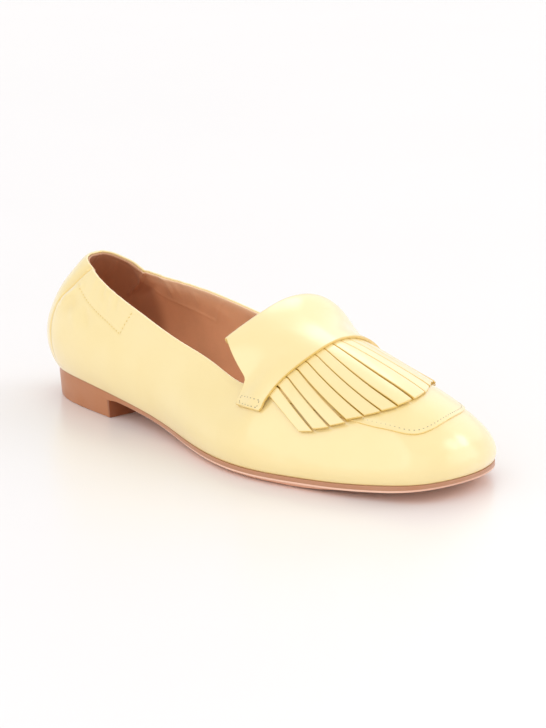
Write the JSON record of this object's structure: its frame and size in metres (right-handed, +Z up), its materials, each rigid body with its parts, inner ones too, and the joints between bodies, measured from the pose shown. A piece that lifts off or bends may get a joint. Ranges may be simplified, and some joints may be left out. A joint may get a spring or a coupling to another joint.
{
  "type": "slip-on loafer",
  "caption": "Right slip-on loafer in smooth leather: hollow upper with open collar, saddle strap with folded tongue, fringe over the vamp, thin leather sole and low block heel.",
  "frame": {"origin": "centre of the bounding box in plan, on the ground plane that heel and forefoot rest on", "axes": "+X towards the toe, +Y towards the shoe's inner side, +Z up"},
  "size_m": [0.2454, 0.0858, 0.0627],
  "materials": {
    "lemon_leather": "smooth satin nappa in pale lemon yellow",
    "tan_sole": "waxed sole leather with a painted tan edge",
    "tan_lining": "soft matt lining leather"
  },
  "bodies": {
    "root": {"upper": "lemon_leather", "strap": "lemon_leather", "fringe": "lemon_leather", "outsole": "tan_sole", "heel": "tan_sole", "insole": "tan_lining"}
  },
  "joints": []
}
